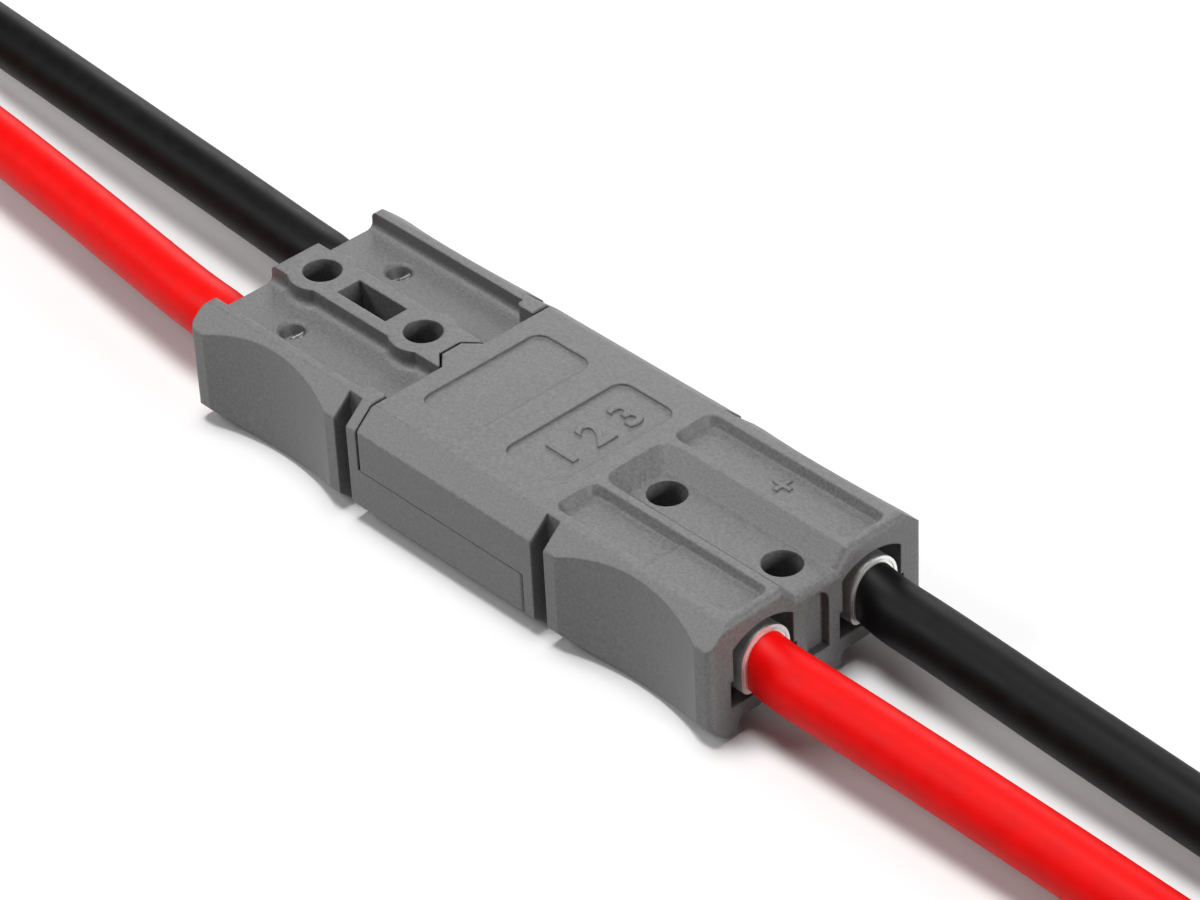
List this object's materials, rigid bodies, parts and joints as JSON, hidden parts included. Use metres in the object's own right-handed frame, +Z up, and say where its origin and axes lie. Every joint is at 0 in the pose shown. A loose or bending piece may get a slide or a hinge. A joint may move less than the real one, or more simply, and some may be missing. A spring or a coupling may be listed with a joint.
{
  "type": "genderless power connector",
  "caption": "Mated pair of identical flat grey power connector halves, each with a hood and tongue that interlock, silver contacts, and a red and a black lead.",
  "frame": {"origin": "middle of the mated pair's footprint, on the surface that it lies on", "axes": "+X along the pair towards half A's cable end, +Y from the red poles to the black ones, +Z up through half A's hood"},
  "size_m": [0.3933, 0.0357, 0.0136],
  "materials": {
    "housing": "fine matte moulded grey polycarbonate",
    "contact": "satin silver plating on copper strip",
    "spring": "plain stainless strip",
    "copper": "bare fine-stranded copper",
    "insulation_red": "smooth red, softly glossy",
    "insulation_black": "smooth black, softly glossy"
  },
  "bodies": {
    "half_a": {"housing_a": "housing", "contact_a_red": "contact", "contact_a_black": "contact", "leaf_spring_a_red": "spring", "leaf_spring_a_black": "spring", "core_a_red": "copper", "core_a_black": "copper", "insulation_a_red": "insulation_red", "insulation_a_black": "insulation_black"},
    "half_b": {"housing_b": "housing", "contact_b_red": "contact", "contact_b_black": "contact", "leaf_spring_b_red": "spring", "leaf_spring_b_black": "spring", "core_b_red": "copper", "core_b_black": "copper", "insulation_b_red": "insulation_red", "insulation_b_black": "insulation_black"}
  },
  "joints": [
    {"name": "unplug", "type": "slide", "parent": "half_a", "child": "half_b", "axis": [-1, 0, 0], "range_m": [0, 0.03]}
  ]
}
